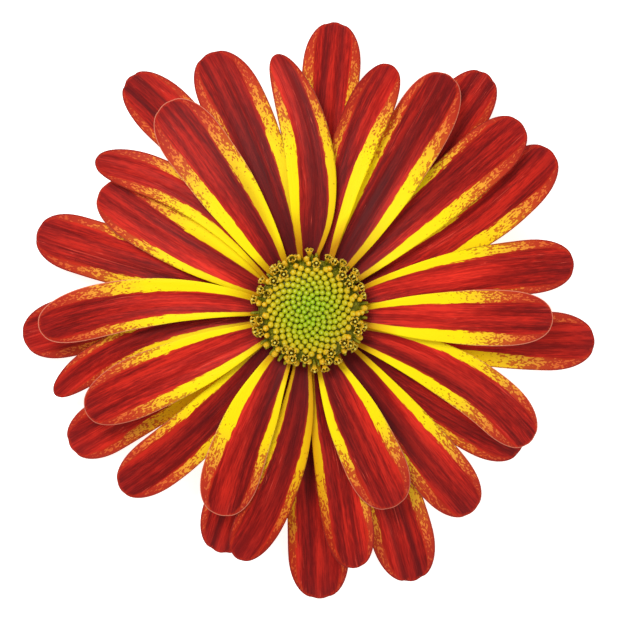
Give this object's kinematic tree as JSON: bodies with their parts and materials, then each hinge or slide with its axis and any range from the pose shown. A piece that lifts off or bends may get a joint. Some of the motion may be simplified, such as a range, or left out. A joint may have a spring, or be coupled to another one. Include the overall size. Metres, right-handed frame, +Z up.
{
  "type": "single chrysanthemum flower head",
  "caption": "Single (daisy-type) chrysanthemum head, crimson ray florets with yellow margins round a yellow disc, on a short cut stub.",
  "frame": {"origin": "on the surface the head lies on, on the axis of its disc, 0.3 mm from the middle of the box round the flower", "axes": "+Z up through the disc, along the flower's axis; +Y towards the top of the face-on view, +X towards its right"},
  "size_m": [0.0749, 0.0754, 0.0166],
  "materials": {
    "ray_crimson": "soft matt petal with a faint sheen",
    "disc_yellow": "soft waxy florets",
    "stem_green": "matt, slightly downy leaf and stem"
  },
  "bodies": {
    "root": {"ray_florets": "ray_crimson", "disc_florets": "disc_yellow", "involucre_stem": "stem_green"}
  },
  "joints": []
}
